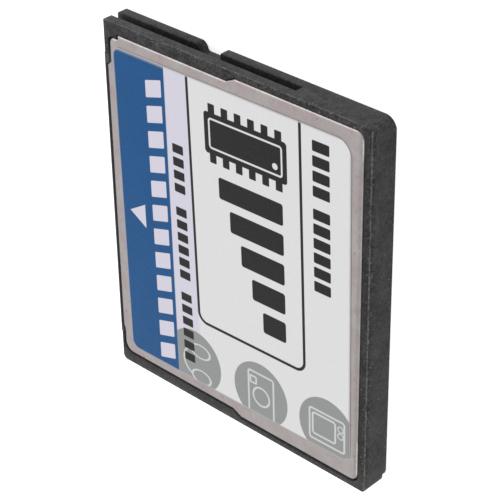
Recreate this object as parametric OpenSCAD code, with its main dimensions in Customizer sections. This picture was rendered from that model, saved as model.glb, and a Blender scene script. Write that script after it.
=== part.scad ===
// Flat memory card: a moulded frame with guide grooves, two pressed metal
// covers, a film label, a two-row socket and the board with its chips.
// The card lies flat with its label up. X runs across the card, from the
// narrow-groove side to the wide-groove side, Y from the connector edge to the
// pull edge, Z up from the lower cover.

/* [Card] */
// Width across the guide rails
card_w = 42.8; // [37:0.1:50]
// Length from the connector edge to the pull edge
card_l = 36.4; // [31:0.1:45]
// Thickness of the frame, cover face to cover face
card_t = 3.3; // [2.9:0.05:5]
// Corner radius at the connector edge, on the narrow-groove side
narrow_corner_r = 0.3; // [0.2:0.1:1]
// Corner radius at the connector edge, on the wide-groove side
wide_corner_r = 0.9; // [0.3:0.1:1.5]
// Corner radius at the pull edge, on the label side
pull_corner_r = 0.9; // [0.2:0.1:1.2]
// Corner radius at the pull edge, close to the lower face
lower_corner_r = 1.6; // [0.5:0.05:2]
// Height up to which the lower corner radius reaches
lower_corner_h = 0.65; // [0.3:0.05:1]
// Rounding of the frame's long outer edges
edge_r = 0.14; // [0.05:0.01:0.2]
// Rounding of the pull edge on the label side
pull_edge_r = 0.4; // [0.1:0.01:0.45]

/* [Frame walls] */
// Plastic left between a guide groove and the inside
side_wall = 1.1; // [0.9:0.05:1.3]
// Thickness of the wall at the pull edge
pull_wall = 1.85; // [1.4:0.05:2]
// How far the ledge under the board reaches inwards
ledge_w = 0.6; // [0.3:0.05:1]

/* [Guide grooves] */
// Length of both grooves, from the connector edge
groove_l = 25.78; // [20:0.1:28]
// Depth of both grooves
groove_d = 1.0; // [0.8:0.05:1.1]
// Width of the groove on the narrow side
narrow_groove_w = 0.99; // [0.8:0.01:1.2]
// Width of the groove on the wide side
wide_groove_w = 1.6; // [1.4:0.01:1.8]
// Chamfer along the mouth of a groove
groove_lip = 0.09; // [0.03:0.01:0.12]

/* [Keying notches] */
// Distance from the connector edge to the notch
notch_start = 12; // [10:0.1:14]
// Length of the notch
notch_l = 2.78; // [2:0.01:4]
// Depth of the notch
notch_d = 1.02; // [0.8:0.01:1.05]
// Radius of the rail's nose in front of the notch
notch_nose_r = 1.05; // [0.8:0.05:1.3]
// Radius at the foot of that nose
notch_foot_r = 0.34; // [0.3:0.02:0.6]
// Chamfer at the far end of the notch
notch_lip = 0.12; // [0.05:0.01:0.3]

/* [Metal covers] */
// Thickness of the sheet
sheet_t = 0.2; // [0.15:0.01:0.25]
// Outer radius of the bent rim
bend_r = 0.3; // [0.26:0.01:0.36]
// Height of the bent rim, sheet included
rim_h = 0.5; // [0.45:0.01:0.6]
// Gap between the rim and its channel
cover_gap = 0.14; // [0.1:0.01:0.2]
// Sideways play that the top cover has taken up
cover_play = 0.03; // [0:0.01:0.09]
// Margin from the card's side, on the connector half
cover_side = 1.4; // [1.1:0.05:1.5]
// Margin from the card's side, on the pull half
cover_pull_side = 0.81; // [0.55:0.01:0.9]
// Distance from the connector edge to the step between these margins
cover_step = 17.4; // [14:0.1:20]
// Length of that slanted step
cover_step_l = 1.2; // [0.8:0.1:2]
// Margin from the pull edge
cover_pull = 1.25; // [0.8:0.01:1.4]
// Corner radius at the pull edge
cover_pull_r = 1.0; // [0.5:0.1:1.5]
// Thickness of the socket's lip in front of the front tab
front_lip = 0.12; // [0.1:0.01:0.2]
// Distance from the card's narrow-groove side to the front tab
narrow_tab = 5.2; // [4.4:0.1:6]
// Distance from the card's wide-groove side to the front tab
wide_tab = 4.8; // [4.4:0.1:6]
// Length of the slant at each end of the front tab
tab_slant = 0.5; // [0.3:0.1:1]
// Front margin of the cover at the narrow-groove corner
narrow_front = 0.78; // [0.7:0.01:1.2]
// Side margin of the cover at the narrow-groove corner
narrow_side = 1.9; // [1.6:0.05:2]
// Distance from the connector edge at which that side margin ends
narrow_end = 2.0; // [1.8:0.05:3]
// Radius of the cover at the narrow-groove corner
narrow_r = 0.9; // [0.5:0.05:1.2]
// Front margin of the cover at the wide-groove corner
wide_front = 0.47; // [0.4:0.01:0.8]
// Radius of the cover at the wide-groove corner
wide_r = 1.3; // [0.8:0.1:2]
// Radius of the cover's small steps
cover_step_r = 0.15; // [0.1:0.01:0.3]
// Width of a clip on the rim
clip_w = 2.0; // [1:0.1:3]
// How far a clip reaches below the rim
clip_h = 0.5; // [0.3:0.05:0.6]
// Distance from the pull edge to the side clips
clip_y = 6.9; // [4:0.1:8]
// Distance of the pull edge's clips from the middle
clip_x = 12; // [6:0.5:16]
// Clearance round a clip in its slot
clip_gap = 0.05; // [0.03:0.01:0.08]

/* [Label] */
// Margin from the cover's sides
label_side = 1.2; // [0.5:0.05:4]
// Margin from the cover's ends
label_end = 1.14; // [0.8:0.02:4]
// Thickness of the film
label_t = 0.08; // [0.05:0.01:0.15]
// Distance of the label's middle from the card's middle, across
label_x = -0.15; // [-0.3:0.05:0.3]
// Distance of the label's middle from the card's middle, along
label_y = -0.45; // [-0.5:0.05:0.3]
// Angle at which the label was stuck on
label_turn = 0.77; // [-1:0.01:1]
// Corner radius of the label
label_r = 1.1; // [0.5:0.1:3]
// Corner radius where the pull edge and the narrow-groove side meet
label_far_r = 1.9; // [0.5:0.1:3]

/* [Socket] */
// Distance between neighbouring contacts
pin_pitch = 1.27; // [1.1:0.01:1.3]
// Distance between the two rows
row_pitch = 1.27; // [1.2:0.01:1.4]
// Width of a corner post beside the housing
post_w = 3.85; // [3.3:0.05:5]
// Plastic beside the outermost contacts
end_wall = 1.5; // [1:0.1:3]
// Depth of the housing
housing_d = 5.6; // [5.2:0.1:6.5]
// How far the housing's ears stand out at each side
ear_w = 1.0; // [0.6:0.1:1.2]
// Depth of the ears
ear_d = 2.5; // [1.5:0.1:3]
// Gap round the housing in the frame
housing_gap = 0.05; // [0.02:0.01:0.1]
// Width of a socket hole
hole_w = 0.54; // [0.45:0.01:0.6]
// Width of the lead-in at the front face
mouth_w = 0.86; // [0.7:0.01:0.95]
// Depth of the lead-in
mouth_d = 0.28; // [0.2:0.01:0.4]
// Thickness of the wall in front of the contacts
front_wall = 0.8; // [0.6:0.05:1]

/* [Contacts] */
// Width of a contact
contact_w = 0.46; // [0.35:0.01:0.52]
// Clearance beside and above a contact in its cavity
contact_gap = 0.05; // [0.02:0.01:0.08]
// Thickness of a prong
prong_t = 0.15; // [0.1:0.01:0.18]
// Half of the gap that a pin opens
nip = 0.16; // [0.12:0.01:0.2]
// Chamfer inside the prongs' tips
tip_chamfer = 0.08; // [0.04:0.01:0.12]
// Clearance between the prongs' tips and the front wall
tip_gap = 0.25; // [0.1:0.05:0.4]
// Distance from the tips to the tightest place
nip_l = 0.5; // [0.3:0.05:0.8]
// Length of the contact's solid body
contact_body_l = 1.1; // [0.8:0.1:1.5]
// Distance from that body to the housing's rear face
contact_set = 0.9; // [0.6:0.1:1.2]
// Length of the tail on the board
tail_l = 1.1; // [0.8:0.1:1.4]

/* [Board] */
// Thickness of the board
board_t = 0.5; // [0.4:0.05:0.6]
// Gap between the board and the frame
board_gap = 0.1; // [0.05:0.01:0.2]
// Margin between the board's edge and the parts on it
board_margin = 0.8; // [0.7:0.1:1.2]
// Gap between neighbouring chips
chip_gap = 0.8; // [0.4:0.1:1]

/* [Chips] */
// Length of a memory chip's body
flash_l = 18.4; // [16:0.1:19]
// Width of a memory chip's body
flash_w = 12; // [10:0.1:12.4]
// Side of the controller's body
controller_s = 12; // [9:0.1:12.5]
// Length without leads at the controller's corners
controller_corner = 1.0; // [0.5:0.1:2]
// Clearance between a chip and the cover
chip_room = 0.15; // [0.1:0.01:0.3]
// Height of a chip's body over the board
chip_stand = 0.05; // [0.03:0.01:0.1]
// Distance between neighbouring leads
lead_pitch = 0.5; // [0.4:0.01:0.52]
// Width of a lead
lead_w = 0.22; // [0.15:0.01:0.3]
// Thickness of a lead
lead_t = 0.13; // [0.1:0.01:0.18]
// How far a lead reaches out of the body
lead_reach = 0.9; // [0.8:0.05:1.1]
// Level length of a lead beside the body
lead_shoulder = 0.27; // [0.2:0.01:0.35]
// Distance from the body to a lead's foot
lead_heel = 0.5; // [0.4:0.01:0.6]
// Draft of a chip's moulded sides
chip_draft = 0.07; // [0.03:0.01:0.12]

/* [Small parts] */
// Length of the crystal's can
crystal_l = 5; // [3.2:0.1:6]
// Width of the crystal's can
crystal_w = 3.2; // [2.5:0.1:4]
// Height of the crystal's can
crystal_t = 0.9; // [0.7:0.05:1]
// Height of its ceramic base
crystal_base_t = 0.45; // [0.3:0.05:0.6]
// Rim of the base beside the lid
crystal_rim = 0.2; // [0.1:0.05:0.4]
// Length of the regulator's body
regulator_l = 2.9; // [2.5:0.1:3.2]
// Width of the regulator's body
regulator_w = 1.6; // [1.3:0.1:1.8]
// Distance between the regulator's leads
regulator_pitch = 0.95; // [0.8:0.01:1]
// Length of a resistor pack
pack_l = 3.2; // [2.8:0.1:3.5]
// Width of a resistor pack
pack_w = 1.6; // [1.4:0.1:1.8]
// Height of a resistor pack
pack_t = 0.55; // [0.4:0.05:0.7]
// Width of the notches between a resistor pack's ends
pack_notch = 0.27; // [0.15:0.01:0.35]
// Gap between neighbouring resistor packs
pack_gap = 0.4; // [0.3:0.05:0.6]
// Length of a capacitor
cap_l = 1.6; // [1.2:0.1:2]
// Width of a capacitor
cap_w = 0.8; // [0.6:0.1:1]
// Height of a capacitor
cap_t = 0.8; // [0.5:0.05:0.9]
// Length of a capacitor's metal ends
cap_end = 0.32; // [0.2:0.02:0.4]
// How much slimmer a capacitor is between its metal ends
cap_waist = 0.05; // [0.02:0.01:0.1]
// Distance between neighbouring capacitors
cap_pitch = 3.2; // [2.4:0.1:3.6]

/* [Hidden] */
// Largest angle between neighbouring points of a rounded corner
arc_step = 15;
// Steps along the curved nose and foot beside a keying notch
nose_steps = 6;
// Steps along the bend of a cover's rim
bend_steps = 4;
// Overlap of a cutting shape past the face that it cuts
over = 1;
// Smallest radius of a rounded corner
least_r = 0.06;
// Share of a step or a pitch too small to count as one
least_share = 0.01;
// Share of an edge that the round at one of its ends may take up
round_share = 0.48;

half_w = card_w / 2;
front_y = -card_l / 2;
pull_y = card_l / 2;
mid_z = card_t / 2;
plate_z = card_t - sheet_t;
bay_w = card_w - 2 * (groove_d + side_wall);
bay_pull_y = pull_y - pull_wall;
housing_rear_y = front_y + housing_d;
board_z = mid_z - board_t / 2;
board_top = mid_z + board_t / 2;
board_w = bay_w - 2 * board_gap;
board_front_y = housing_rear_y;
board_pull_y = bay_pull_y - board_gap;
housing_w = card_w - 2 * post_w;
pins = fitting(housing_w - 2 * end_wall, pin_pitch);
contact_half = row_pitch / 2 - board_t / 2;
label_w = card_w - 2 * (cover_side + label_side);
label_l = card_l - wide_front - cover_pull - 2 * label_end;

// The controller stands in front on the narrow side, a memory chip on the wide
// side of each face, and the small parts at the rear beside it
chip_t = plate_z - board_top - chip_stand - chip_room;
parts_x = -board_w / 2 + board_margin;
parts_y = board_pull_y - board_margin;
flash_x = -parts_x - flash_w / 2;
flash_y = parts_y - lead_reach - flash_l / 2;
controller_span = controller_s + 2 * lead_reach;
controller_x = parts_x + controller_span / 2;
controller_y = board_front_y + tail_l + chip_gap + controller_span / 2;
regulator_x = parts_x + crystal_w + chip_gap + lead_reach + regulator_w / 2;
packs_x = regulator_x + regulator_w / 2 + lead_reach + chip_gap;

capacitor_count = 8;
pack_count = 4;
// Resistors in a pack
pack_ends = 4;

// How many copies at a pitch fit on a length
function fitting(length, pitch) = floor(length / pitch + least_share);

// Outlines run anticlockwise through corners given as [x, y, radius]
function spot(corner) = [corner[0], corner[1]];
function unit(v) = v / norm(v);
function turned(v, a) = [v.x * cos(a) - v.y * sin(a), v.x * sin(a) + v.y * cos(a)];
function outward(a, b) = let (u = unit(b - a)) [u.y, -u.x];
function left_turn(a, b, c) = cross(b - a, c - b) > 0;

// Corner b moved so that both of its edges move out by d
function grown_corner(a, b, c, d) =
    let (n = outward(a, b), m = outward(b, c))
    b + d * (n + m) / (1 + n * m);

// Points of a round of radius r at corner b, short enough for both edges
function corner_round(a, b, c, r) =
    let (
        u = unit(a - b),
        v = unit(c - b),
        half = acos(u * v) / 2,
        room = round_share * min(norm(a - b), norm(c - b)),
        fit_r = min(r, room * tan(half)),
        centre = b + unit(u + v) * fit_r / sin(half),
        arm = b + u * fit_r / tan(half) - centre,
        sweep = left_turn(a, b, c) ? 180 - 2 * half : 2 * half - 180,
        steps = ceil(abs(sweep) / arc_step - least_share)
    )
    [for (i = [0:steps]) centre + turned(arm, sweep * i / steps)];

function outline(corners, d = 0) =
    let (
        n = len(corners),
        p = [for (c = corners) spot(c)],
        g = [for (i = [0:n - 1]) grown_corner(p[(i + n - 1) % n], p[i], p[(i + 1) % n], d)],
        r = [
            for (i = [0:n - 1])
            corners[i][2] + (left_turn(p[(i + n - 1) % n], p[i], p[(i + 1) % n]) ? d : -d)
        ]
    )
    [
        for (i = [0:n - 1])
        each corner_round(g[(i + n - 1) % n], g[i], g[(i + 1) % n], max(r[i], least_r))
    ];

// Corners of a box about the origin, from its upper left one
function box_corners(x, y, r) = [
    [-x, y, r[0]],
    [-x, -y, r[1]],
    [x, -y, r[2]],
    [x, y, r[3]]
];
function alike(r) = [r, r, r, r];

// Front edge of a cover's tab, and the whole edge of a cover
tab_y = front_y + front_lip + cover_gap;
cover_edge = [
    [-half_w + cover_pull_side, pull_y - cover_pull, cover_pull_r],
    [-half_w + cover_pull_side, front_y + cover_step + cover_step_l, cover_step_r],
    [-half_w + cover_side, front_y + cover_step, cover_step_r],
    [-half_w + cover_side, front_y + narrow_end, cover_step_r],
    [-half_w + narrow_side, front_y + narrow_end, cover_step_r],
    [-half_w + narrow_side, front_y + narrow_front, narrow_r],
    [-half_w + narrow_tab - tab_slant, front_y + narrow_front, cover_step_r],
    [-half_w + narrow_tab, tab_y, cover_step_r],
    [half_w - wide_tab, tab_y, cover_step_r],
    [half_w - wide_tab + tab_slant, front_y + wide_front, cover_step_r],
    [half_w - cover_side, front_y + wide_front, wide_r],
    [half_w - cover_side, front_y + cover_step, cover_step_r],
    [half_w - cover_pull_side, front_y + cover_step + cover_step_l, cover_step_r],
    [half_w - cover_pull_side, pull_y - cover_pull, cover_pull_r]
];

// Repeats a shape below the card's middle plane
module on_lower_face() {
    translate([0, 0, card_t]) mirror([0, 0, 1]) children();
}

module on_wide_side() {
    mirror([1, 0, 0]) children();
}

// Stands a drawing of [Y, Z] points up and gives it a width along X
module across(w) {
    rotate([90, 0, 90]) linear_extrude(w, center = true) children();
}

// Stands a drawing of [X, Z] points up and gives it a length along Y
module along(l) {
    rotate([90, 0, 0]) linear_extrude(l, center = true) children();
}

// Frame

module card_slab(r, z0, z1) {
    radii = [r, narrow_corner_r, wide_corner_r, r];
    translate([0, 0, z0])
        linear_extrude(z1 - z0)
            polygon(outline(box_corners(half_w, pull_y, radii)));
}

module frame_blank() {
    end_radii = [edge_r, edge_r, edge_r, pull_edge_r];
    intersection() {
        union() {
            card_slab(lower_corner_r, 0, lower_corner_h);
            card_slab(pull_corner_r, lower_corner_h, card_t);
        }
        translate([0, 0, mid_z])
            along(card_l + over) polygon(outline(box_corners(half_w, mid_z, alike(edge_r))));
        translate([0, 0, mid_z])
            across(card_w + over) polygon(outline(box_corners(pull_y, mid_z, end_radii)));
    }
}

module guide_groove(w) {
    floor_x = -half_w + groove_d;
    translate([0, front_y + groove_l / 2 - over / 2, mid_z])
        along(groove_l + over)
            polygon([
                [-half_w - over, -w / 2 - groove_lip],
                [-half_w, -w / 2 - groove_lip],
                [-half_w + groove_lip, -w / 2],
                [floor_x, -w / 2],
                [floor_x, w / 2],
                [-half_w + groove_lip, w / 2],
                [-half_w, w / 2 + groove_lip],
                [-half_w - over, w / 2 + groove_lip]
            ]);
}

// Curved nose of the rail: two arcs that meet where both slope by nose_a
nose_a = acos(1 - notch_d / (notch_nose_r + notch_foot_r));
nose_l = (notch_nose_r + notch_foot_r) * sin(nose_a);
nose_start = notch_start + notch_foot_r * sin(nose_a) - nose_l;
function nose_point(r, a) = [r * sin(a), r * (1 - cos(a))];

module keying_notch() {
    notch_end = notch_start + notch_l;
    nose = [
        for (i = [0:nose_steps])
        [nose_start, 0] + nose_point(notch_nose_r, nose_a * i / nose_steps)
    ];
    foot = [
        for (i = [nose_steps - 1:-1:0])
        [nose_start + nose_l, notch_d] - nose_point(notch_foot_r, nose_a * i / nose_steps)
    ];
    drawing = concat(
        [[nose_start, -over]],
        nose,
        foot,
        [[notch_end, notch_d], [notch_end, notch_lip], [notch_end + notch_lip, 0]],
        [[notch_end + notch_lip, -over]]
    );
    translate([0, 0, -over])
        linear_extrude(mid_z + over)
            polygon([for (p = drawing) [p.y - half_w, p.x + front_y]]);
}

module plate_pocket() {
    translate([0, 0, plate_z])
        linear_extrude(sheet_t + over) polygon(outline(cover_edge, cover_gap));
}

// Pocket for the cover's plate, with a channel round it for the rim
module cover_seat() {
    plate_pocket();
    translate([0, 0, card_t - rim_h - clip_gap])
        linear_extrude(rim_h)
            difference() {
                polygon(outline(cover_edge, cover_gap));
                polygon(outline(cover_edge, -bend_r - cover_gap));
            }
}

// A clip, or with a clearance the slot that takes it
module cover_clip(gap = 0) {
    translate([-clip_w / 2 - gap, -sheet_t - gap, card_t - rim_h - clip_h - gap])
        cube([clip_w + 2 * gap, sheet_t + 2 * gap, clip_h + gap + (gap > 0 ? over : 0)]);
}

module cover_clips(gap = 0) {
    for (side = [-1, 1]) {
        translate([side * clip_x, pull_y - cover_pull, 0]) cover_clip(gap);
        translate([side * (half_w - cover_pull_side), pull_y - clip_y, 0])
            rotate(-90 * side)
                cover_clip(gap);
    }
}

module bays() {
    post_x = housing_w / 2 + housing_gap;
    ear_y = housing_rear_y - ear_d - housing_gap;
    translate([-post_x, front_y - over, -over])
        cube([2 * post_x, housing_d + 2 * over, card_t + 2 * over]);
    translate([-post_x - ear_w, ear_y, -over])
        cube([2 * (post_x + ear_w), housing_rear_y - ear_y + over, card_t + 2 * over]);
    translate([-bay_w / 2, housing_rear_y, board_z])
        cube([bay_w, bay_pull_y - housing_rear_y, card_t]);
    translate([-bay_w / 2 + ledge_w, housing_rear_y, -over])
        cube([bay_w - 2 * ledge_w, bay_pull_y - ledge_w - housing_rear_y, card_t]);
}

module frame() {
    color("#3e3e40")
    difference() {
        frame_blank();
        guide_groove(narrow_groove_w);
        on_wide_side() guide_groove(wide_groove_w);
        keying_notch();
        on_wide_side() keying_notch();
        bays();
        cover_seat();
        on_lower_face() cover_seat();
        clip_slots();
        on_lower_face() clip_slots();
    }
}

// The slots leave room for the play that a cover may take up
module clip_slots() {
    cover_clips(clip_gap + cover_play);
}

// Covers

// Skin over a stack of outlines of equal length, from the first to the last
module skin(rings) {
    n = len(rings[0]);
    m = len(rings);
    walls = [
        for (j = [0:m - 2], i = [0:n - 1])
        each [
            [j * n + i, (j + 1) * n + i, j * n + (i + 1) % n],
            [j * n + (i + 1) % n, (j + 1) * n + i, (j + 1) * n + (i + 1) % n]
        ]
    ];
    polyhedron([for (ring = rings) each ring], concat(
        walls,
        [[for (i = [0:n - 1]) i]],
        [[for (i = [n - 1:-1:0]) (m - 1) * n + i]]
    ));
}

function ring(d, z) = [for (p = outline(cover_edge, d)) [p.x, p.y, z]];

// Quarter of a bend of radius r round the rim, from upright to level
function bend(r, i) =
    let (a = 90 * i / bend_steps)
    ring(r * cos(a) - bend_r, card_t - bend_r + r * sin(a));

// From the plate's underside down inside the rim, round its foot and up outside
module cover_pressing() {
    foot_z = card_t - rim_h;
    inside = [for (i = [bend_steps:-1:0]) bend(bend_r - sheet_t, i)];
    outside = [for (i = [0:bend_steps]) bend(bend_r, i)];
    difference() {
        skin(concat(inside, [ring(-sheet_t, foot_z), ring(0, foot_z)], outside));
        rim_opening();
    }
    cover_clips();
}

// The rim stops beside the socket, where only the plate goes on
module rim_opening() {
    x = housing_w / 2 + housing_gap + cover_gap;
    translate([-x, front_y - over, plate_z - card_t])
        cube([2 * x, over + narrow_front + 2 * sheet_t, card_t]);
}

module top_cover() {
    color("#b4aeae") translate([-cover_play, 0, 0]) cover_pressing();
}

module bottom_cover() {
    color("#b4aeae") on_lower_face() cover_pressing();
}

module label() {
    radii = [label_far_r, label_r, label_r, label_r];
    color("#dedee0")
    translate([label_x, label_y, card_t])
        rotate(label_turn)
            linear_extrude(label_t)
                polygon(outline(box_corners(label_w / 2, label_l / 2, radii)));
}

// Socket

// One socket hole with its lead-in and the cavity behind it; the front face is
// at y = 0 and the row's plane at z = 0, with the card's middle below it
module socket_cut() {
    m = mouth_w / 2;
    h = hole_w / 2;
    c = contact_w / 2 + contact_gap;
    far_y = housing_d + over;
    half_plan = [[m, -over], [m, 0], [h, mouth_d], [h, front_wall], [c, front_wall], [c, far_y]];
    other_half = [for (i = [len(half_plan) - 1:-1:0]) [-half_plan[i].x, half_plan[i].y]];
    intersection() {
        translate([0, 0, -card_t / 2])
            linear_extrude(card_t)
                polygon(concat(half_plan, other_half));
        across(card_t)
            polygon([
                [-over, m], [-over, -m], [0, -m], [mouth_d, -h], [front_wall, -h],
                [front_wall, -contact_half], [far_y, -contact_half],
                [far_y, contact_half + contact_gap], [front_wall, contact_half + contact_gap],
                [front_wall, h], [mouth_d, h], [0, m]
            ]);
    }
}

// Repeats a shape at each place of the upper row
module upper_row() {
    for (i = [0:pins - 1])
        translate([(i - (pins - 1) / 2) * pin_pitch, front_y, mid_z + row_pitch / 2]) children();
}

module housing_blank() {
    linear_extrude(card_t)
        polygon([
            [-housing_w / 2, front_y],
            [housing_w / 2, front_y],
            [housing_w / 2, housing_rear_y - ear_d],
            [housing_w / 2 + ear_w, housing_rear_y - ear_d],
            [housing_w / 2 + ear_w, housing_rear_y],
            [-housing_w / 2 - ear_w, housing_rear_y],
            [-housing_w / 2 - ear_w, housing_rear_y - ear_d],
            [-housing_w / 2, housing_rear_y - ear_d]
        ]);
}

module connector_housing() {
    color("#2a2a2d")
    difference() {
        housing_blank();
        plate_pocket();
        on_lower_face() plate_pocket();
        upper_row() socket_cut();
        on_lower_face() upper_row() socket_cut();
    }
}

// Stamped contact: two sprung prongs, a solid body and a tail to the board
module contact() {
    tip = front_wall + tip_gap;
    tight = tip + nip_l;
    root_y = housing_d - contact_set - contact_body_l;
    body_y = housing_d - contact_set;
    tail_y = housing_d + tail_l;
    b = contact_half;
    flare = nip + tip_chamfer;
    across(contact_w)
        polygon([
            [root_y, -b], [tail_y, -b], [tail_y, -b + prong_t], [body_y, -b + prong_t],
            [body_y, b], [root_y, b],
            [tight, nip + prong_t], [tip, nip + prong_t], [tip, flare],
            [tight, nip], [root_y, b - prong_t], [root_y, prong_t - b],
            [tight, -nip], [tip, -flare], [tip, -nip - prong_t], [tight, -nip - prong_t]
        ]);
}

module contact_row_upper() {
    color("#d0a850") upper_row() contact();
}

module contact_row_lower() {
    color("#d0a850") on_lower_face() upper_row() contact();
}

// Board and chips

module circuit_board() {
    color("#1f5a3c")
    translate([-board_w / 2, board_front_y, board_z])
        cube([board_w, board_pull_y - board_front_y, board_t]);
}

function half_drafted(w, t) = [
    [-w / 2 + chip_draft, 0],
    [w / 2 - chip_draft, 0],
    [w / 2, t / 2 - lead_t / 2],
    [w / 2, t / 2 + lead_t / 2],
    [w / 2 - chip_draft, t],
    [-w / 2 + chip_draft, t],
    [-w / 2, t / 2 + lead_t / 2],
    [-w / 2, t / 2 - lead_t / 2]
];

// Moulded chip body with drafted sides, standing just over the board
module chip_body(l, w) {
    color("#242426")
    translate([0, 0, board_top + chip_stand])
        intersection() {
            along(w + over) polygon(half_drafted(l, chip_t));
            across(l + over) polygon(half_drafted(w, chip_t));
        }
}

// A row of gull-wing leads on the side of a body that faces +X at x
module lead_row(count, pitch, x) {
    shoulder_z = chip_stand + chip_t / 2 - lead_t / 2;
    color("#c8c8c8")
    for (i = [0:count - 1])
        translate([x, (i - (count - 1) / 2) * pitch, board_top])
            along(lead_w)
                polygon([
                    [0, shoulder_z], [lead_shoulder - lead_t, shoulder_z],
                    [lead_heel - lead_t, 0], [lead_reach, 0],
                    [lead_reach, lead_t], [lead_heel, lead_t],
                    [lead_shoulder, shoulder_z + lead_t], [0, shoulder_z + lead_t]
                ]);
}

// A memory chip lies along the card, with its leads at its two ends
module flash_chip() {
    translate([flash_x, flash_y, 0]) rotate(90) chip_body(flash_l, flash_w);
}

module flash_leads() {
    translate([flash_x, flash_y, 0])
        for (a = [90, 270])
            rotate(a) lead_row(fitting(flash_w, lead_pitch), lead_pitch, flash_l / 2);
}

module at_controller() {
    translate([controller_x, controller_y, 0]) children();
}

// The board's front face looks at the label, its rear face at the lower cover
module flash_chip_front() {
    flash_chip();
}

module flash_leads_front() {
    flash_leads();
}

module flash_chip_rear() {
    on_lower_face() flash_chip();
}

module flash_leads_rear() {
    on_lower_face() flash_leads();
}

module controller_chip() {
    at_controller() chip_body(controller_s, controller_s);
}

module controller_leads() {
    count = fitting(controller_s - 2 * controller_corner, lead_pitch);
    at_controller()
        for (a = [0:90:270]) rotate(a) lead_row(count, lead_pitch, controller_s / 2);
}

module crystal_can() {
    can = box_corners(crystal_w / 2, crystal_l / 2, alike(crystal_rim));
    color("#c8c4b8")
    translate([parts_x + crystal_w / 2, parts_y - crystal_l / 2, board_top]) {
        linear_extrude(crystal_t) polygon(outline(can, -crystal_rim));
        linear_extrude(crystal_base_t) polygon(outline(can));
    }
}

module at_regulator() {
    translate([regulator_x, parts_y - regulator_l / 2, 0]) children();
}

module regulator_chip() {
    at_regulator() chip_body(regulator_w, regulator_l);
}

module regulator_leads() {
    at_regulator() {
        lead_row(3, regulator_pitch, regulator_w / 2);
        rotate(180) lead_row(2, 2 * regulator_pitch, regulator_w / 2);
    }
}

// Four small resistors in one ceramic body, with notches between their ends
module resistor_pack(i) {
    x = packs_x + pack_w / 2 + (i - 1) * (pack_w + pack_gap);
    color("#3a3a3c")
    translate([x, parts_y - pack_l / 2, board_top])
        linear_extrude(pack_t)
            difference() {
                square([pack_w, pack_l], center = true);
                for (j = [1:pack_ends - 1], side = [-1, 1])
                    translate([side * pack_w / 2, (j / pack_ends - 1 / 2) * pack_l])
                        square(pack_notch, center = true);
            }
}

// Ceramic capacitor on the rear face, below the controller, with metal ends a
// little fatter than it; they stand in two rows
module capacitor(i) {
    per_row = capacitor_count / 2;
    x = (i - 1) % per_row - (per_row - 1) / 2;
    y = floor((i - 1) / per_row) - 1 / 2;
    color("#b89868")
    translate([controller_x + x * cap_pitch, controller_y + y * cap_pitch, board_z - cap_t]) {
        translate([-cap_l / 2 + cap_end, -cap_w / 2 + cap_waist, 0])
            cube([cap_l - 2 * cap_end, cap_w - 2 * cap_waist, cap_t]);
        for (side = [-1, 1])
            translate([side * (cap_l - cap_end) / 2, 0, cap_t / 2])
                cube([cap_end, cap_w, cap_t], center = true);
    }
}

frame();
top_cover();
bottom_cover();
label();
connector_housing();
contact_row_upper();
contact_row_lower();
circuit_board();
controller_chip();
controller_leads();
flash_chip_front();
flash_leads_front();
flash_chip_rear();
flash_leads_rear();
crystal_can();
regulator_chip();
regulator_leads();
for (i = [1:pack_count])
    resistor_pack(i);
for (i = [1:capacitor_count])
    capacitor(i);
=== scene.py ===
import math
import bpy
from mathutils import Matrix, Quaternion, Vector


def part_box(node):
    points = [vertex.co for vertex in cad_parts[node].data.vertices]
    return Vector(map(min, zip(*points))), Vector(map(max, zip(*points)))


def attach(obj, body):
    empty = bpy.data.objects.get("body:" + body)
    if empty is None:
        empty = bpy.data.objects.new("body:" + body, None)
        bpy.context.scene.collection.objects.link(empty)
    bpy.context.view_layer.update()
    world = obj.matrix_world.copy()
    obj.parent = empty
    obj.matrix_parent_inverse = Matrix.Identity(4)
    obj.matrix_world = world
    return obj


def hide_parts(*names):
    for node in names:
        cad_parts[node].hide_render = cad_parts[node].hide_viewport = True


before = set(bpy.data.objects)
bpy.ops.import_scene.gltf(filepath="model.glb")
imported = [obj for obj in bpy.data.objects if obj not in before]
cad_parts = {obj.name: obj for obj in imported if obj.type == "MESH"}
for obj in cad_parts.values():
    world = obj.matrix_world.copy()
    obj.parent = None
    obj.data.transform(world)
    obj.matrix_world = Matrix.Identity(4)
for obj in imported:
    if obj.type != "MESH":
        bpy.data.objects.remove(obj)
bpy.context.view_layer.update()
mm = 0.001
print("card loaded:", len(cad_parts), "nodes")


class Wire:
    # a shader socket that takes part in plain arithmetic

    def __init__(self, paint, socket):
        self.paint = paint
        self.socket = socket

    def calc(self, operation, *values):
        return self.paint.node("ShaderNodeMath", {"operation": operation}, values)

    def __add__(self, other):
        return self.calc("ADD", self, other)

    def __radd__(self, other):
        return self.calc("ADD", other, self)

    def __sub__(self, other):
        return self.calc("SUBTRACT", self, other)

    def __rsub__(self, other):
        return self.calc("SUBTRACT", other, self)

    def __mul__(self, other):
        return self.calc("MULTIPLY", self, other)

    def __rmul__(self, other):
        return self.calc("MULTIPLY", other, self)

    def __truediv__(self, other):
        return self.calc("DIVIDE", self, other)

    def __abs__(self):
        return self.calc("ABSOLUTE", self)

    def atLeast(self, other):
        return self.calc("MAXIMUM", self, other)

    def atMost(self, other):
        return self.calc("MINIMUM", self, other)

    def within(self, low, high):
        return self.atLeast(low).atMost(high)

    def rounded(self):
        return self.calc("ROUND", self)

    def root(self):
        return self.calc("SQRT", self)


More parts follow.
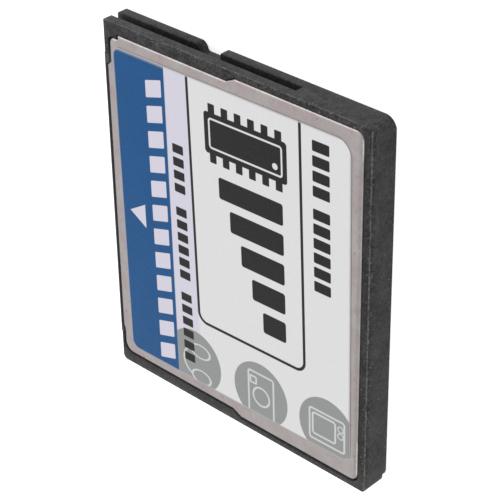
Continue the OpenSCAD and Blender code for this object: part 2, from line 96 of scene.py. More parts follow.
class Paint:
    # the nodes of one material or of the world, under construction

    def __init__(self, owner):
        owner.use_nodes = True
        self.owner = owner
        self.tree = owner.node_tree
        self.tree.nodes.clear()

    def node(self, kind, settings=None, values=(), output=0):
        # values are a list in the order of the sockets, or a dictionary by socket name
        made = self.tree.nodes.new(kind)
        for name, value in (settings or {}).items():
            if name == "stops":
                self.setStops(made.color_ramp, value)
            else:
                setattr(made, name, value)
        pairs = values.items() if isinstance(values, dict) else enumerate(values)
        for key, value in pairs:
            if isinstance(value, Wire):
                self.tree.links.new(value.socket, made.inputs[key])
            else:
                made.inputs[key].default_value = value
        return Wire(self, made.outputs[output]) if len(made.outputs) else made

    def setStops(self, ramp, stops):
        while len(ramp.elements) < len(stops):
            ramp.elements.new(1)
        for element, (place, level) in zip(ramp.elements, stops):
            element.position = place
            element.color = (level, level, level, 1)

    def vector(self, operation, values):
        return self.node("ShaderNodeVectorMath", {"operation": operation}, values)

    def point(self, stretch=(1, 1, 1), turn=0, centre=(0, 0)):
        # the place on the card in millimetres, centred and turned for a pattern
        place = self.node("ShaderNodeTexCoord", output="Object")
        scaled = self.vector("SCALE", {"Vector": place, "Scale": 1 / mm})
        moved = self.vector("SUBTRACT", [scaled, (*centre, 0)])
        angles = (0, 0, -math.radians(turn))
        turned = self.node("ShaderNodeMapping", {}, {"Vector": moved, "Rotation": angles})
        return self.vector("MULTIPLY", [turned, stretch])

    def split(self, vector):
        made = self.tree.nodes.new("ShaderNodeSeparateXYZ")
        self.tree.links.new(vector.socket, made.inputs[0])
        return [Wire(self, socket) for socket in made.outputs]

    def noise(self, vector, perMm, detail=3, roughness=0.5):
        values = {"Vector": vector, "Scale": perMm, "Detail": detail, "Roughness": roughness}
        return self.node("ShaderNodeTexNoise", {}, values, "Fac")

    def specks(self, vector, perMm, radius):
        # small dots of unequal size, one to a cell at most
        values = {"Vector": vector, "Scale": perMm}
        near = self.node("ShaderNodeTexVoronoi", {}, values, "Distance")
        chance = self.node("ShaderNodeTexVoronoi", {}, values, "Color")
        size = self.split(chance)[0] * 2 - 1
        return inked(near - size * (radius * perMm), 0.04 * perMm)

    def ramp(self, value, *stops):
        return self.node("ShaderNodeValToRGB", {"stops": stops}, [value])

    def mix(self, factor, first, second):
        # the node's sockets 6 and 7 are its two colours, and output 2 is the mixed one
        values = {0: factor, 6: first, 7: second}
        return self.node("ShaderNodeMix", {"data_type": "RGBA"}, values, 2)

    def bump(self, height, depthMm, strength):
        values = {"Height": height, "Distance": depthMm * mm, "Strength": strength}
        return self.node("ShaderNodeBump", {}, values)

    def finish(self, **values):
        shader = self.node("ShaderNodeBsdfPrincipled", {}, values)
        self.node("ShaderNodeOutputMaterial", {}, {"Surface": shader})
        return self.owner


def newPaint(name):
    return Paint(bpy.data.materials.new(name))


def ink(red, green, blue):
    # a colour as it looks on screen, from 0 to 255, in the shader's own terms
    def linear(level):
        level = level / 255
        return level / 12.92 if level <= 0.04045 else ((level + 0.055) / 1.055) ** 2.4

    return (linear(red), linear(green), linear(blue), 1)


# Distances in millimetres to the edge of a drawn shape, below 0 inside it

def discEdge(x, y, centre, radius):
    dx = x - centre[0]
    dy = y - centre[1]
    return (dx * dx + dy * dy).root() - radius


def ovalEdge(x, y, centre, half):
    dx = (x - centre[0]) / half[0]
    dy = (y - centre[1]) / half[1]
    return ((dx * dx + dy * dy).root() - 1) * (sum(half) / 2)


def blockEdge(x, y, centre, half, radius):
    dx = abs(x - centre[0]) - (half[0] - radius)
    dy = abs(y - centre[1]) - (half[1] - radius)
    ox = dx.atLeast(0)
    oy = dy.atLeast(0)
    return (ox * ox + oy * oy).root() + dx.atLeast(dy).atMost(0) - radius


def strokeEdge(x, y, first, second, half):
    # a straight stroke from one point to another
    dx = second[0] - first[0]
    dy = second[1] - first[1]
    square = dx * dx + dy * dy
    along = ((x - first[0]) * (dx / square) + (y - first[1]) * (dy / square)).within(0, 1)
    return discEdge(x - along * dx, y - along * dy, first, half)


def rowEdge(x, y, first, pitch, count, half, radius, slant=0.0):
    # equal blocks in a row along x, from the one at first
    along = x - first[0] + (y - first[1]) * slant
    index = (along / pitch).rounded().within(0, count - 1)
    return blockEdge(along - index * pitch, y - first[1], (0, 0), half, radius)


def lined(edge, width):
    return abs(edge) - width / 2


def nearest(edges):
    found = edges[0]
    for edge in edges[1:]:
        found = found.atMost(edge)
    return found


def inked(edge, softness=0.05):
    # 1 inside a shape and 0 outside, with a soft edge of that many millimetres
    return (0.5 - edge / softness).within(0, 1)


# half the card's size in millimetres, from the frame, whose lower face has the origin at its middle
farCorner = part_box("frame")[1] / mm
cardHalf = {"x": round(farCorner.x, 3), "y": round(farCorner.y, 3), "z": round(farCorner.z / 2, 3)}
labelSide = 3.1             # the label side's faces lie above this height
pullRounding = 0.26         # the long edges at the pull side lie this much further in


def edgeDistance(x, y, z):
    # millimetres to the nearest long edge of the card
    side = cardHalf["x"] - abs(x)
    end = cardHalf["y"] - abs(y)
    face = z.atMost(cardHalf["z"] * 2 - z)
    rounded = end - (y * 9).within(0, pullRounding)
    pairs = [(side, face), (rounded, face), (side, end)]
    return nearest([(first * first + second * second).root() for first, second in pairs])


framePlastic = {
    "dark": ink(20, 20, 21),
    "light": ink(68, 68, 69),
    "pale": ink(72, 72, 72),
    "shade": ink(14, 14, 14),
    "wear": ink(126, 127, 126),
    "dust": ink(150, 150, 147),
    # patterns: how fine they are to the millimetre, their detail and roughness
    "cloud": (0.4, 4, 0.6),
    "blotch": (1.7, 5, 0.7),
    "grain": (5, 4, 0.75),
    "wander": (0.7, 5, 0.75),
    "breaks": (2.4, 6, 0.85),
    "specks": (3.4, 5, 0.85),
    "toneWeights": (1.6, 2.2, 3.4),     # of the cloud, the blotch and the grain
    "toneOffset": 3.1,
    "dustSpecks": (1.3, 0.1),
    # places in millimetres
    "railStart": 21.33,     # the rails' side faces begin here
    "railFoot": 1.2,        # the rails' side faces are painted lighter below this height, as painted light from the floor
    "wideFace": 19.2,       # where the face beside the wide groove begins
    "stripStart": 16.9,     # where the strip of painted shade beside the cover begins
    "pullStart": 18.0,      # the face at the pull edge, painted a little darker than the rest as painted shade
    "grooveMiddle": -5,
    "grooveHalf": (12.58, 0.9),
    "scratchHeight": 3.2,
    # scratches on the label side beside the narrow groove, from one end to the other
    "scratches": [
        ((-21.0, -11.0), (-21.22, -9.6), 0.03),
        ((-21.08, -10.5), (-20.8, -9.9), 0.05),
        ((-21.3, -17.0), (-21.34, -11.8), 0.02),
    ],
    # how strongly each shows
    "stripShade": 0.4,
    "grooveShade": 0.6,
    "pullShade": 0.25,
    "railLight": 0.02,
    "footBounceLight": 0.25,
    "wideRub": 0.42,
    "edgeWear": 0.7,
    "speckWear": 0.6,
    "scratchWear": 0.75,
    "dustWear": 0.5,
    "specular": 0.18,
}


def frameFinish():
    own = framePlastic
    paint = newPaint("framePlastic")
    place = paint.point()
    x, y, z = paint.split(place)
    cloud = paint.noise(place, *own["cloud"])
    blotch = paint.noise(place, *own["blotch"])
    grain = paint.noise(place, *own["grain"])
    weights = own["toneWeights"]
    tone = cloud * weights[0] + blotch * weights[1] + grain * weights[2] - own["toneOffset"]
    body = paint.mix(tone.within(0, 1), own["dark"], own["light"])
    # painted shade: a darker strip on the label side, beside the cover at the pull end
    shadedStrip = ((y - own["stripStart"]) * 8).within(0, 1) * ((z - labelSide) * 8).within(0, 1)
    body = paint.mix(shadedStrip * own["stripShade"], body, own["shade"])

    # painted light: the rails' side faces are lighter, most of all near the floor; the wide side's
    # face is rubbed lighter as well
    rail = inked(own["railStart"] - abs(x), 0.1)
    rail = rail * (own["railLight"] - (z - own["railFoot"]).within(-1, 0) * own["footBounceLight"])
    litAndRubbed = rail.atLeast(inked(own["wideFace"] - x, 0.8) * own["wideRub"])
    body = paint.mix(litAndRubbed * (grain * 1.8 + 0.1), body, own["pale"])
    # painted shade: the grooves' floors and the pull edge's face are darkened
    longHalf, wideHalf = own["grooveHalf"]
    groove = inked(abs(x) - own["railStart"], 0.1)
    groove = groove * inked(abs(z - cardHalf["z"]) - wideHalf, 0.1)
    groove = groove * inked(abs(y - own["grooveMiddle"]) - longHalf, 0.1)
    pullFace = inked(own["pullStart"] - y, 0.1)
    shaded = (groove * own["grooveShade"]).atLeast(pullFace * own["pullShade"])
    body = paint.mix(shaded, body, own["shade"])

    # the edges are worn in a broken line, with specks and scratches beside it
    edge = edgeDistance(x, y, z)
    wander = paint.ramp(paint.noise(place, *own["wander"]), (0.35, 0), (0.68, 0.1))
    broken = paint.ramp(paint.noise(place, *own["breaks"]), (0.4, 0.1), (0.6, 1))
    worn = inked(edge - 0.03 - wander, 0.1) * broken * own["edgeWear"]
    specks = paint.ramp(paint.noise(place, *own["specks"]), (0.56, 0), (0.64, 1))
    specks = specks * inked(edge - 0.42, 0.5) * own["speckWear"]
    marks = nearest([strokeEdge(x, y, *scratch) for scratch in own["scratches"]])
    marks = inked(marks, 0.08) * inked(own["scratchHeight"] - z, 0.05) * broken
    wear = worn.atLeast(specks).atLeast(marks * own["scratchWear"])
    body = paint.mix(wear, body, own["wear"])
    dust = paint.specks(place, *own["dustSpecks"])
    body = paint.mix(dust * own["dustWear"], body, own["dust"])
    return paint.finish(**{
        "Base Color": body,
        "Roughness": 0.5 + grain * 0.16 - worn * 0.1,
        "Normal": paint.bump(grain, 0.03, 0.7),
        "Specular IOR Level": own["specular"],
    })


coverSteel = {
    "plain": ink(177, 174, 172),
    "pink": ink(171, 157, 159),
    # the smudges' colour, also used for painted shade across the plate
    "smudgeAndShade": ink(137, 128, 128),
    "grime": ink(112, 107, 106),
    "stain": ink(109, 78, 74),
    # patterns: how fine they are to the millimetre, their detail and roughness
    "clouds": (0.35, 5, 0.65),
    "smudges": (1.1, 6, 0.7),
    "mottle": (3.2, 5, 0.8),
    "ragged": (1.2, 4, 0.7),
    "brush": (1.4, 2, 0.6),
    "raggedStretch": (0.5, 1, 1),
    "brushStretch": (14, 0.7, 1),
    "fineStains": (0.28, 0.2),
    # places in millimetres
    "pullRim": 16.95,       # the cover's edge at the pull side
    "grimyEnds": (15.2, -17.6),     # the rim is grimy between these
    "stains": [
        ((14.5, -17.3), 0.13),
        ((19.1, -2.3), 0.1),
        ((19.7, -14.7), 0.12),
        ((-20.1, 11.2), 0.1),
    ],
}


def coverFinish():
    own = coverSteel
    paint = newPaint("coverSteel")
    place = paint.point()
    x, y, z = paint.split(place)
    clouds = paint.ramp(paint.noise(place, *own["clouds"]), (0.35, 0), (0.68, 1))
    metal = paint.mix(clouds, own["plain"], own["pink"])
    smudges = paint.ramp(paint.noise(place, *own["smudges"]), (0.55, 0), (0.72, 1))
    mottle = paint.ramp(paint.noise(place, *own["mottle"]), (0.36, 0), (0.64, 1))
    # painted shade: the metal darkens towards the pull edge and the narrow groove
    paintedFalloff = (y * 0.002 - x * 0.001).within(-0.03, 0.06) + 0.05
    metal = paint.mix(smudges * 0.3 + mottle * 0.18 + paintedFalloff, metal, own["smudgeAndShade"])

    # grime gathers along the rim at the pull side
    ragged = paint.noise(paint.point(stretch=own["raggedStretch"]), *own["ragged"])
    inward = own["pullRim"] - y
    upper = inked(labelSide - z, 0.05)
    grime = inked(inward - ragged * 0.9, 0.5) * upper * (0.25 + mottle * 0.3)
    wideEnd, narrowEnd = own["grimyEnds"]
    dirty = inked(x - wideEnd - ragged, 1.2) * inked(narrowEnd - x - ragged, 1.2)
    rim = inked(inward - 0.2, 0.15) * upper * dirty * (ragged * 0.5 + 0.65).within(0, 1)
    metal = paint.mix(grime.atLeast(rim), metal, own["grime"])

    stains = nearest([discEdge(x, y, middle, radius) for middle, radius in own["stains"]])
    stains = inked(stains, 0.08) * 0.6
    stains = stains.atLeast(paint.specks(place, *own["fineStains"]) * 0.4)
    metal = paint.mix(stains, metal, own["stain"])
    brush = paint.noise(paint.point(stretch=own["brushStretch"]), *own["brush"])
    return paint.finish(**{
        "Base Color": metal,
        "Metallic": 1.0,
        "Roughness": 0.3 + brush * 0.1 + smudges * 0.1 + mottle * 0.06,
        "Normal": paint.bump(brush, 0.004, 0.5),
    })


socketPlastic = {"dark": ink(46, 46, 47), "light": ink(60, 60, 61)}


def socketFinish():
    paint = newPaint("socketPlastic")
    place = paint.point()
    grain = paint.noise(place, 12, 3, 0.6)
    body = paint.mix(paint.noise(place, 0.8, 3), socketPlastic["dark"], socketPlastic["light"])
    return paint.finish(**{
        "Base Color": body,
        "Roughness": 0.42 + grain * 0.16,
        "Normal": paint.bump(grain, 0.012, 0.5),
    })


boardLaminate = {"dark": ink(18, 66, 40), "light": ink(34, 96, 60), "threadsPerMm": 3}


def boardFinish():
    paint = newPaint("boardLaminate")
    place = paint.point()
    threads = [across * boardLaminate["threadsPerMm"] for across in paint.split(place)[:2]]
    weave = abs(threads[0] - threads[0].rounded()) + abs(threads[1] - threads[1].rounded())
    tone = weave * 0.5 + paint.noise(place, 0.6, 3) * 0.5
    body = paint.mix(tone, boardLaminate["dark"], boardLaminate["light"])
    return paint.finish(**{
        "Base Color": body,
        "Roughness": 0.3 + weave * 0.1,
        "Normal": paint.bump(weave, 0.01, 0.4),
    })


# the small parts' two colours and their roughness
smallParts = {
    "chipResin": (ink(34, 34, 35), ink(44, 44, 45), 0.5),
    "leadTin": (ink(214, 214, 212), ink(190, 190, 190), 0.28),
    "goldPlate": (ink(226, 184, 104), ink(206, 158, 78), 0.22),
    "canMetal": (ink(208, 204, 194), ink(184, 178, 166), 0.3),
    "resistorCeramic": (ink(48, 48, 50), ink(62, 62, 64), 0.45),
    "capacitorCeramic": (ink(176, 142, 96), ink(196, 166, 122), 0.55),
}


def platedFinish(name):
    pale, deep, roughness = smallParts[name]
    paint = newPaint(name)
    metal = paint.mix(paint.noise(paint.point(), 2.2, 4, 0.6), pale, deep)
    fine = paint.noise(paint.point(stretch=(1, 8, 8)), 3, 2)
    return paint.finish(**{
        "Base Color": metal,
        "Metallic": 1.0,
        "Roughness": roughness + fine * 0.12,
        "Normal": paint.bump(fine, 0.003, 0.4),
    })


def ceramicFinish(name):
    first, second, roughness = smallParts[name]
    paint = newPaint(name)
    place = paint.point()
    body = paint.mix(paint.noise(place, 3, 4, 0.6), first, second)
    grain = paint.noise(place, 20, 2)
    return paint.finish(**{
        "Base Color": body,
        "Roughness": roughness + grain * 0.15,
        "Normal": paint.bump(grain, 0.006, 0.5),
    })


label = {
    # the sheet, in millimetres and degrees
    "size": (37.6, 32.4),
    "centre": (-0.15, -0.45),
    "turn": 0.77,
    "blackTurn": 1.45,      # the black ink was printed at a slightly other angle
    "thickness": 0.08,
    "corner": 1.1,
    "farCorner": 1.9,       # where the pull edge and the narrow groove's side meet
    "edge": 0.025,
    "edgeAngle": 60,
    "cornerZone": 14,       # the corners lie further from the card's middle lines than this
    "longSide": 5,          # a corner with a shorter side than this is round already
    "specular": 0.08,
    "paper": ink(225, 225, 226),
    "tint": ink(216, 213, 226),
    "blue": ink(32, 94, 150),
    "deepBlue": ink(12, 66, 117),
    "grey": ink(150, 151, 151),
    "line": ink(210, 212, 212),
    # painted shadow along the pull side's edge of the sheet
    "edgeShadow": ink(118, 120, 119),
    "black": ink(38, 38, 39),
    "film": ink(180, 176, 177),
    "grime": ink(120, 118, 116),
    # patterns: how fine they are to the millimetre, their detail and roughness
    "fibres": (4.5, 4, 0.7),
    "clouds": (0.25, 3, 0.5),
    "grimes": (2.6, 5, 0.7),
    # the blue band with its arrow and blocks, and the pale tint beside it
    "bandEdge": -8.7,
    "tintEdge": -5.3,
    "fringe": 0.18,
    "arrow": {"tip": (0.33, -15.02), "base": -12.66, "half": 1.45},
    "blocks": {
        "first": (-15.7, -10.35), "pitch": 2.95, "count": 12,
        "half": (0.98, 1.15), "radius": 0.12, "slant": 0.3,
    },
    # three discs, each with a line picture, given from the disc's middle
    "discs": [(16.02, -5.98), (15.94, 3.75), (16.04, 13.12)],
    "discRadius": 3.85,
    "lineWidth": 0.24,
    "loops": {
        "middles": [(-1.41, 0.81), (2.0, 0.81)], "half": (0.86, 1.4),
        "bow": (0.3, 0.2), "bowHalf": (1.9, 2.0), "bowEnd": 0.5,
    },
    "camera": {
        "body": ((0.5, 0.05), (3.0, 1.8), 0.3), "finder": ((-1.42, -1.05), (0.42, 0.42), 0.1),
        "lens": (0.42, 0.07), "lensRadius": 1.16,
    },
    "handheld": {
        "body": ((0.02, -0.03), (1.93, 2.38), 0.3), "screen": ((-0.08, -0.43), (1.33, 1.55), 0.3),
        "keys": [(-0.9, 1.84), (-0.04, 1.84)], "keyRadius": 0.36, "keyWidth": 0.14,
    },
    # the black ink's shapes
    "frameLine": {"centre": (-9.85, 2.37), "half": (20.16, 7.58), "radius": 1.2},
    "frameLineWidth": 0.36,
    "chip": {
        "middle": (-13.4, 2.6), "body": (2.35, 5.6), "bodyCorner": 0.4,
        "legs": 6, "firstLeg": -4.5, "legPitch": 1.8,
        "legOut": 2.6, "leg": (0.75, 0.46), "legCorner": 0.1,
        "rim": (1.65, 4.9), "rimCorner": 0.3, "rimWidth": 0.22,
        "dot": (0.75, 4.0), "dotRadius": 0.36,
    },
    "bars": {
        "count": 5, "first": 6.55, "pitch": 3.5, "base": 7.5,
        "width": 2.5, "shortest": 3.2, "rise": 1.4, "corner": 0.3,
    },
    "smallDash": {"pitch": 1.55, "half": (0.52, 0.78), "radius": 0.12},
    "largeDash": {"pitch": 1.65, "half": (0.6, 1.1), "radius": 0.15},
    "dashes": [
        ("smallDash", (-9.9, -7.05), 4),
        ("smallDash", (-2.4, -7.05), 6),
        ("smallDash", (8.2, -7.05), 6),
        ("largeDash", (-16.7, 12.6), 4),
        ("largeDash", (-9.2, 12.6), 6),
    ],
}


def bandShapes(x, y):
    # white arrow towards the connector, and a row of slanted blocks
    tip, base = label["arrow"]["tip"], label["arrow"]["base"]
    slope = label["arrow"]["half"] / (base - tip[1])
    arrow = (abs(x - tip[0]) - (y - tip[1]) * slope).atLeast(y - base)
    return nearest([arrow, rowEdge(x, y, **label["blocks"])])


def shifted(middle, right, up):
    return (middle[0] + right, middle[1] + up)


def blockNear(x, y, middle, block):
    place, half, radius = block
    return blockEdge(x, y, shifted(middle, *place), half, radius)


def linedAll(edges, width):
    return [lined(edge, width) for edge in edges]


def loopLines(x, y, middle):
    own = label["loops"]
    loops = [ovalEdge(x, y, shifted(middle, *place), own["half"]) for place in own["middles"]]
    bow = ovalEdge(x, y, shifted(middle, *own["bow"]), own["bowHalf"])
    bow = lined(bow, label["lineWidth"]).atLeast(y - (middle[1] - own["bowEnd"]))
    return nearest(linedAll(loops, label["lineWidth"]) + [bow])


def cameraLines(x, y, middle):
    own = label["camera"]
    blocks = [blockNear(x, y, middle, own[name]) for name in ("body", "finder")]
    lens = discEdge(x, y, shifted(middle, *own["lens"]), own["lensRadius"])
    return nearest(linedAll(blocks + [lens], label["lineWidth"]))


def handheldLines(x, y, middle):
    own = label["handheld"]
    blocks = [blockNear(x, y, middle, own[name]) for name in ("body", "screen")]
    keys = [discEdge(x, y, shifted(middle, *place), own["keyRadius"]) for place in own["keys"]]
    return nearest(linedAll(blocks, label["lineWidth"]) + linedAll(keys, own["keyWidth"]))


def chipShape(x, y):
    # a plain picture of a chip: a body with legs, a pale rim line and a corner dot
    own = label["chip"]
    middle = own["middle"]
    body = blockEdge(x, y, middle, own["body"], own["bodyCorner"])
    out = abs(x - middle[0])
    row = y - middle[1] - own["firstLeg"]
    index = (row / own["legPitch"]).rounded().within(0, own["legs"] - 1)
    along = row - index * own["legPitch"]
    leg = blockEdge(out, along, (own["legOut"], 0), own["leg"], own["legCorner"])
    rim = lined(blockEdge(x, y, middle, own["rim"], own["rimCorner"]), own["rimWidth"])
    dot = discEdge(x, y, shifted(middle, *own["dot"]), own["dotRadius"])
    return body.atMost(leg).atLeast(rim.atMost(dot) * -1)


def levelShapes(x, y):
    # bars that rise from one base line
    own = label["bars"]
    bars = []
    for step in range(own["count"]):
        height = own["shortest"] + own["rise"] * step
        middle = (own["first"] - own["pitch"] * step, own["base"] - height / 2)
        bars.append(blockEdge(x, y, middle, (own["width"] / 2, height / 2), own["corner"]))
    return nearest(bars)


def blackShapes(x, y):
    outline = lined(blockEdge(x, y, **label["frameLine"]), label["frameLineWidth"])
    dashes = []
    for kind, first, count in label["dashes"]:
        dashes.append(rowEdge(x, y, first=first, count=count, **label[kind]))
    return nearest([outline, chipShape(x, y), levelShapes(x, y), *dashes])


def labelFinish():
    half = [side / 2 for side in label["size"]]
    paint = newPaint("labelFilm")
    sheet = paint.point(turn=label["turn"], centre=label["centre"])
    x, y = paint.split(sheet)[:2]
    black = paint.point(turn=label["blackTurn"], centre=label["centre"])
    blackX, blackY = paint.split(black)[:2]
    fibre = paint.ramp(paint.noise(sheet, *label["fibres"]), (0.34, 0), (0.66, 1))
    cloud = paint.noise(sheet, *label["clouds"])

    blue = paint.mix(cloud * 0.3 + fibre * 0.6, label["blue"], label["deepBlue"])
    look = paint.mix(inked(blackY - label["tintEdge"], 0.3), label["paper"], label["tint"])
    # the blue ends in a soft fringe beside the narrow groove
    fringe = inked(x * -1 - half[0] + label["fringe"], 0.5)
    blue = paint.mix(fringe, label["film"], blue)
    look = paint.mix(inked(y - label["bandEdge"], 0.12), look, blue)
    look = paint.mix(inked(bandShapes(x, y)), look, label["tint"])

    discs = nearest([discEdge(x, y, middle, label["discRadius"]) for middle in label["discs"]])
    discs = discs.atLeast(label["bandEdge"] - y)
    look = paint.mix(inked(discs), look, label["grey"])
    pictures = zip([loopLines, cameraLines, handheldLines], label["discs"])
    lines = nearest([picture(x, y, middle) for picture, middle in pictures])
    look = paint.mix(inked(lines.atLeast(discs), 0.08), look, label["line"])
    look = paint.mix(inked(blackShapes(blackX, blackY)), look, label["black"])

    grime = paint.ramp(paint.noise(sheet, *label["grimes"]), (0.66, 0), (0.8, 1))
    look = paint.mix(fibre * 0.07 + grime * 0.1, look, label["grime"])
    # the print thins out at the sheet's edge, and a painted shadow line darkens the pull side's
    # edge where a disc runs over it
    margin = blockEdge(x, y, (0, 0), half, label["corner"]) + cloud * 0.06
    look = paint.mix(inked(margin + 0.1, 0.2), label["film"], look)
    edgeShadow = inked(abs(y - half[1] + 0.12) - 0.05, 0.08) * inked(discs, 0.2)
    look = paint.mix(edgeShadow * 0.8, look, label["edgeShadow"])
    return paint.finish(**{
        "Base Color": look,
        "Roughness": 0.38 + fibre * 0.12,
        "Normal": paint.bump(fibre, 0.004, 0.4),
        "Specular IOR Level": label["specular"],
    })


def only(piece):
    bpy.ops.object.select_all(action="DESELECT")
    piece.select_set(True)
    bpy.context.view_layer.objects.active = piece


def applied(piece, kind, **settings):
    only(piece)
    modifier = piece.modifiers.new(kind.lower(), kind)
    for name, value in settings.items():
        setattr(modifier, name, value)
    bpy.ops.object.modifier_apply(modifier=modifier.name)


def dress(piece, material):
    piece.data.materials.clear()
    piece.data.materials.append(material)


edgeWork = {
    "weld": 0.0005,         # points closer than this in millimetres become one
    "flatAngle": 0.4,       # faces that turn less than this in degrees become one
    "roundAngle": 40,       # edges that turn more than this are rounded
    "smoothAngle": 32,      # edges that turn less than this are shaded smooth
    # the rounds' widths in millimetres
    "frame": 0.07,
    "top_cover": 0.03,
    "bottom_cover": 0.03,
    "connector_housing": 0.03,
}


def shadedSmooth(piece):
    only(piece)
    bpy.ops.object.shade_smooth_by_angle(angle=math.radians(edgeWork["smoothAngle"]))


def finerCopy(node, name, material, joinFaces=True):
    # the node's own form, welded, with its edges rounded and its curves smooth
    piece = bpy.data.objects.new(name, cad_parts[node].data.copy())
    bpy.context.scene.collection.objects.link(piece)
    only(piece)
    bpy.ops.object.mode_set(mode="EDIT")
    bpy.ops.mesh.select_all(action="SELECT")
    bpy.ops.mesh.remove_doubles(threshold=edgeWork["weld"] * mm)
    if joinFaces:
        bpy.ops.mesh.dissolve_limited(angle_limit=math.radians(edgeWork["flatAngle"]))
    bpy.ops.object.mode_set(mode="OBJECT")
    applied(
        piece, "BEVEL", width=edgeWork[node] * mm, segments=2, limit_method="ANGLE",
        angle_limit=math.radians(edgeWork["roundAngle"]), miter_outer="MITER_ARC",
    )
    shadedSmooth(piece)
    dress(piece, material)
    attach(piece, "root")
    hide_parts(node)
    print("made", name, len(piece.data.polygons), "faces")


def lengthOf(piece, edge):
    first, second = (piece.data.vertices[index].co for index in edge.vertices)
    return (first - second).length


def roundCorners(piece, wanted, radiusMm):
    # rounds the square corners of a flat sheet that lie where wanted says
    only(piece)
    for parts in (piece.data.vertices, piece.data.edges, piece.data.polygons):
        for part in parts:
            part.select = False
    for vertex in piece.data.vertices:
        edges = [edge for edge in piece.data.edges if vertex.index in edge.vertices]
        square = min(lengthOf(piece, edge) for edge in edges) > label["longSide"] * mm
        vertex.select = wanted(vertex.co.x, vertex.co.y) and square
    bpy.ops.object.mode_set(mode="EDIT")
    bpy.ops.mesh.select_mode(type="VERT")
    bpy.ops.mesh.bevel(offset=radiusMm * mm, segments=12, affect="VERTICES")
    bpy.ops.object.mode_set(mode="OBJECT")


def labelFilm(material):
    # a sheet with round corners, extruded to its thickness, its edges eased
    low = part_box("label")[0]
    middle = [place * mm for place in label["centre"]]
    zone = label["cornerZone"] * mm
    bpy.ops.object.select_all(action="DESELECT")
    bpy.ops.mesh.primitive_plane_add(
        size=1, location=(*middle, low.z), rotation=(0, 0, math.radians(label["turn"])),
    )
    piece = bpy.context.object
    piece.name = "label_film"
    piece.scale = (*(side * mm for side in label["size"]), 1)
    bpy.ops.object.transform_apply(location=True, rotation=True, scale=True)
    roundCorners(piece, lambda x, y: x < 0 < y, label["farCorner"])
    roundCorners(piece, lambda x, y: y < -zone or x > zone, label["corner"])
    bpy.ops.object.mode_set(mode="EDIT")
    bpy.ops.mesh.select_all(action="SELECT")
    raised = (0, 0, label["thickness"] * mm)
    bpy.ops.mesh.extrude_region_move(TRANSFORM_OT_translate={"value": raised})
    bpy.ops.mesh.select_all(action="SELECT")
    bpy.ops.mesh.normals_make_consistent(inside=False)
    bpy.ops.object.mode_set(mode="OBJECT")
    applied(
        piece, "BEVEL", width=label["edge"] * mm, segments=3, limit_method="ANGLE",
        angle_limit=math.radians(label["edgeAngle"]),
    )
    shadedSmooth(piece)
    dress(piece, material)
    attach(piece, "root")
    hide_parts("label")
    print("made", piece.name, len(piece.data.polygons), "faces")


steel = coverFinish()
plastic = frameFinish()
finerCopy("frame", "frame_moulding", plastic)
finerCopy("top_cover", "top_cover_pressing", steel)
finerCopy("bottom_cover", "bottom_cover_pressing", steel)
# a face with fifty holes in it stays in its triangles
finerCopy("connector_housing", "socket_moulding", socketFinish(), joinFaces=False)
labelFilm(labelFinish())

resin = ceramicFinish("chipResin")
tin = platedFinish("leadTin")
gold = platedFinish("goldPlate")
can = platedFinish("canMetal")
pack = ceramicFinish("resistorCeramic")
clay = ceramicFinish("capacitorCeramic")
# by the beginning of a node's name
finishes = {
    "contact_row": gold, "circuit_board": boardFinish(), "controller_chip": resin,
    "flash_chip": resin, "regulator_chip": resin, "controller_leads": tin, "flash_leads": tin,
    "regulator_leads": tin, "crystal_can": can, "resistor_pack": pack, "capacitor": clay,
    "frame": plastic, "top_cover": steel, "bottom_cover": steel,
    "connector_housing": resin, "label": resin,
}
for name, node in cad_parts.items():
    start = max((key for key in finishes if name.startswith(key)), key=len)
    dress(node, finishes[start])
print("finishes set on", len(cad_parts), "nodes")

studio = {
    "floorSize": 3.0,
    "floorDrop": 0.02,      # millimetres below the card
    "floorGlow": 0.6,
    "floorColours": (ink(236, 236, 236), ink(240, 240, 240)),
    "floorPattern": (0.02, 3),
    "white": (1, 1, 1, 1),
    "ambient": 0.695,
    # soft boxes, each mirrored towards the camera by one bent edge of the cover
    "sideLamp": {"place": (-0.37, -0.35, 0.32), "size": 0.5, "watts": 1.15},
    "pullLamp": {"place": (0.32, 0.37, 0.35), "size": 0.5, "watts": 1.2},
}


def openView(paint):
    # 1 for the camera's own rays and for those that metal or glass passes on
    kinds = ("Is Camera Ray", "Is Glossy Ray", "Is Transmission Ray")
    camera, glossy, through = [paint.node("ShaderNodeLightPath", output=kind) for kind in kinds]
    return (camera + glossy + through).atMost(1)


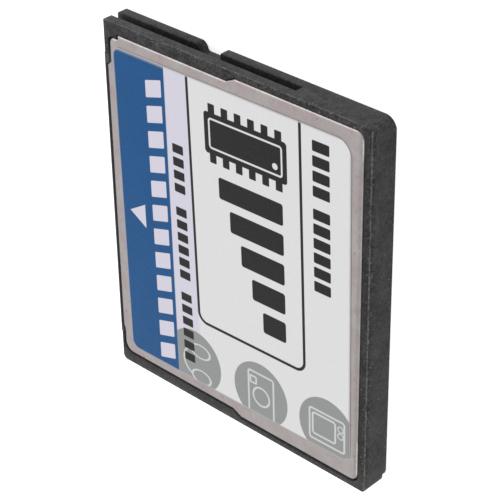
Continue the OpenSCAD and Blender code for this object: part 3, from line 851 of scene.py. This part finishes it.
def floorFinish():
    paint = newPaint("paleFloor")
    pattern = paint.noise(paint.point(), *studio["floorPattern"])
    tone = paint.mix(pattern, *studio["floorColours"])
    matt = paint.node("ShaderNodeBsdfDiffuse", {}, {"Color": tone})
    strength = openView(paint) * studio["floorGlow"]
    glow = paint.node("ShaderNodeEmission", {}, {"Color": studio["white"], "Strength": strength})
    both = paint.node("ShaderNodeAddShader", {}, [matt, glow])
    paint.node("ShaderNodeOutputMaterial", {}, {"Surface": both})
    return paint.owner


def addLamp(name, lamp):
    bpy.ops.object.light_add(type="AREA", location=lamp["place"])
    made = bpy.context.object
    made.name = name
    made.data.shape = "SQUARE"
    made.data.size = lamp["size"]
    made.data.energy = lamp["watts"]
    made.rotation_euler = (-Vector(lamp["place"])).to_track_quat("-Z", "Y").to_euler()


def setStudio():
    bpy.ops.object.select_all(action="DESELECT")
    below = (0, 0, -studio["floorDrop"] * mm)
    bpy.ops.mesh.primitive_plane_add(size=studio["floorSize"], location=below)
    floor = bpy.context.object
    floor.name = "pale_floor"
    dress(floor, floorFinish())
    addLamp("side_lamp", studio["sideLamp"])
    addLamp("pull_lamp", studio["pullLamp"])
    world = bpy.data.worlds.new("studio")
    bpy.context.scene.world = world
    paint = Paint(world)
    strength = studio["ambient"] + openView(paint) * (1 - studio["ambient"])
    values = {"Color": studio["white"], "Strength": strength}
    sky = paint.node("ShaderNodeBackground", {}, values)
    paint.node("ShaderNodeOutputWorld", {}, {"Surface": sky})


cameraView = {
    "place": (-100.975, 111.103, 117.161),
    "aim": (-1.801, 2.212, 3.300),
    "roll": -120.09,
    "focal": 1827.7,        # in pixels of a picture 500 pixels wide
    "pictureWidth": 500,
    "clipStart": 5,
}


def setCamera():
    bpy.ops.object.camera_add()
    camera = bpy.context.object
    place = Vector(cameraView["place"]) * mm
    aim = Vector(cameraView["aim"]) * mm
    roll = Quaternion((0, 0, 1), math.radians(cameraView["roll"]))
    camera.rotation_mode = "QUATERNION"
    camera.location = place
    camera.rotation_quaternion = (aim - place).to_track_quat("-Z", "Y") @ roll
    camera.data.lens = camera.data.sensor_width * cameraView["focal"] / cameraView["pictureWidth"]
    camera.data.clip_start = cameraView["clipStart"] * mm
    bpy.context.scene.camera = camera


setStudio()
setCamera()
bpy.context.scene.view_settings.view_transform = "Standard"
print("studio and camera set")
